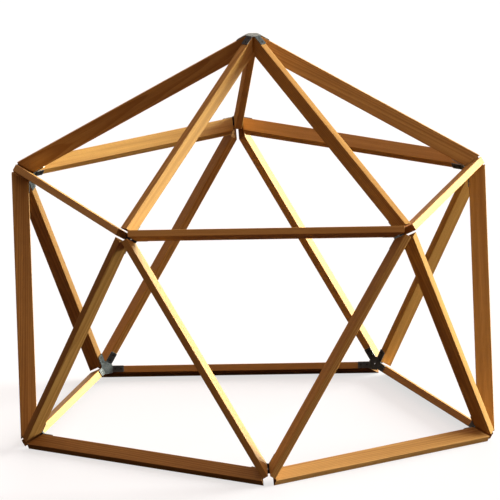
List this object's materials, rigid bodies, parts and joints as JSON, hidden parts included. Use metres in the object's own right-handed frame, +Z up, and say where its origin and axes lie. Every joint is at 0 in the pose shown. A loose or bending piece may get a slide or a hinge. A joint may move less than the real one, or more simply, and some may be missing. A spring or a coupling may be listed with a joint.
{
  "type": "dome climber",
  "caption": "Climbing dome of equal straight timbers along the edges of an icosahedron that is open at the bottom, joined at each corner by a bent steel star plate and countersunk screws.",
  "frame": {"origin": "on the ground, straight under the crown, in the middle of the base ring", "axes": "+Z up through the crown, -Y to the front where one base corner points, +X to the right"},
  "size_m": [2.5548, 2.6886, 2.1719],
  "materials": {
    "timber": "oiled softwood",
    "plate_steel": "dark semi-gloss coating",
    "screw_steel": "dark coated screws"
  },
  "bodies": {
    "root": {"crown_strut_1": "timber", "crown_strut_2": "timber", "crown_strut_3": "timber", "crown_strut_4": "timber", "crown_strut_5": "timber", "ring_strut_1": "timber", "ring_strut_2": "timber", "ring_strut_3": "timber", "ring_strut_4": "timber", "ring_strut_5": "timber", "lattice_strut_1": "timber", "lattice_strut_2": "timber", "lattice_strut_3": "timber", "lattice_strut_4": "timber", "lattice_strut_5": "timber", "lattice_strut_6": "timber", "lattice_strut_7": "timber", "lattice_strut_8": "timber", "lattice_strut_9": "timber", "lattice_strut_10": "timber", "base_strut_1": "timber", "base_strut_2": "timber", "base_strut_3": "timber", "base_strut_4": "timber", "base_strut_5": "timber", "crown_plate": "plate_steel", "ring_plate_1": "plate_steel", "ring_plate_2": "plate_steel", "ring_plate_3": "plate_steel", "ring_plate_4": "plate_steel", "ring_plate_5": "plate_steel", "base_plate_1": "plate_steel", "base_plate_2": "plate_steel", "base_plate_3": "plate_steel", "base_plate_4": "plate_steel", "base_plate_5": "plate_steel", "crown_screws": "screw_steel", "ring_screws_1": "screw_steel", "ring_screws_2": "screw_steel", "ring_screws_3": "screw_steel", "ring_screws_4": "screw_steel", "ring_screws_5": "screw_steel", "base_screws_1": "screw_steel", "base_screws_2": "screw_steel", "base_screws_3": "screw_steel", "base_screws_4": "screw_steel", "base_screws_5": "screw_steel"}
  },
  "joints": []
}
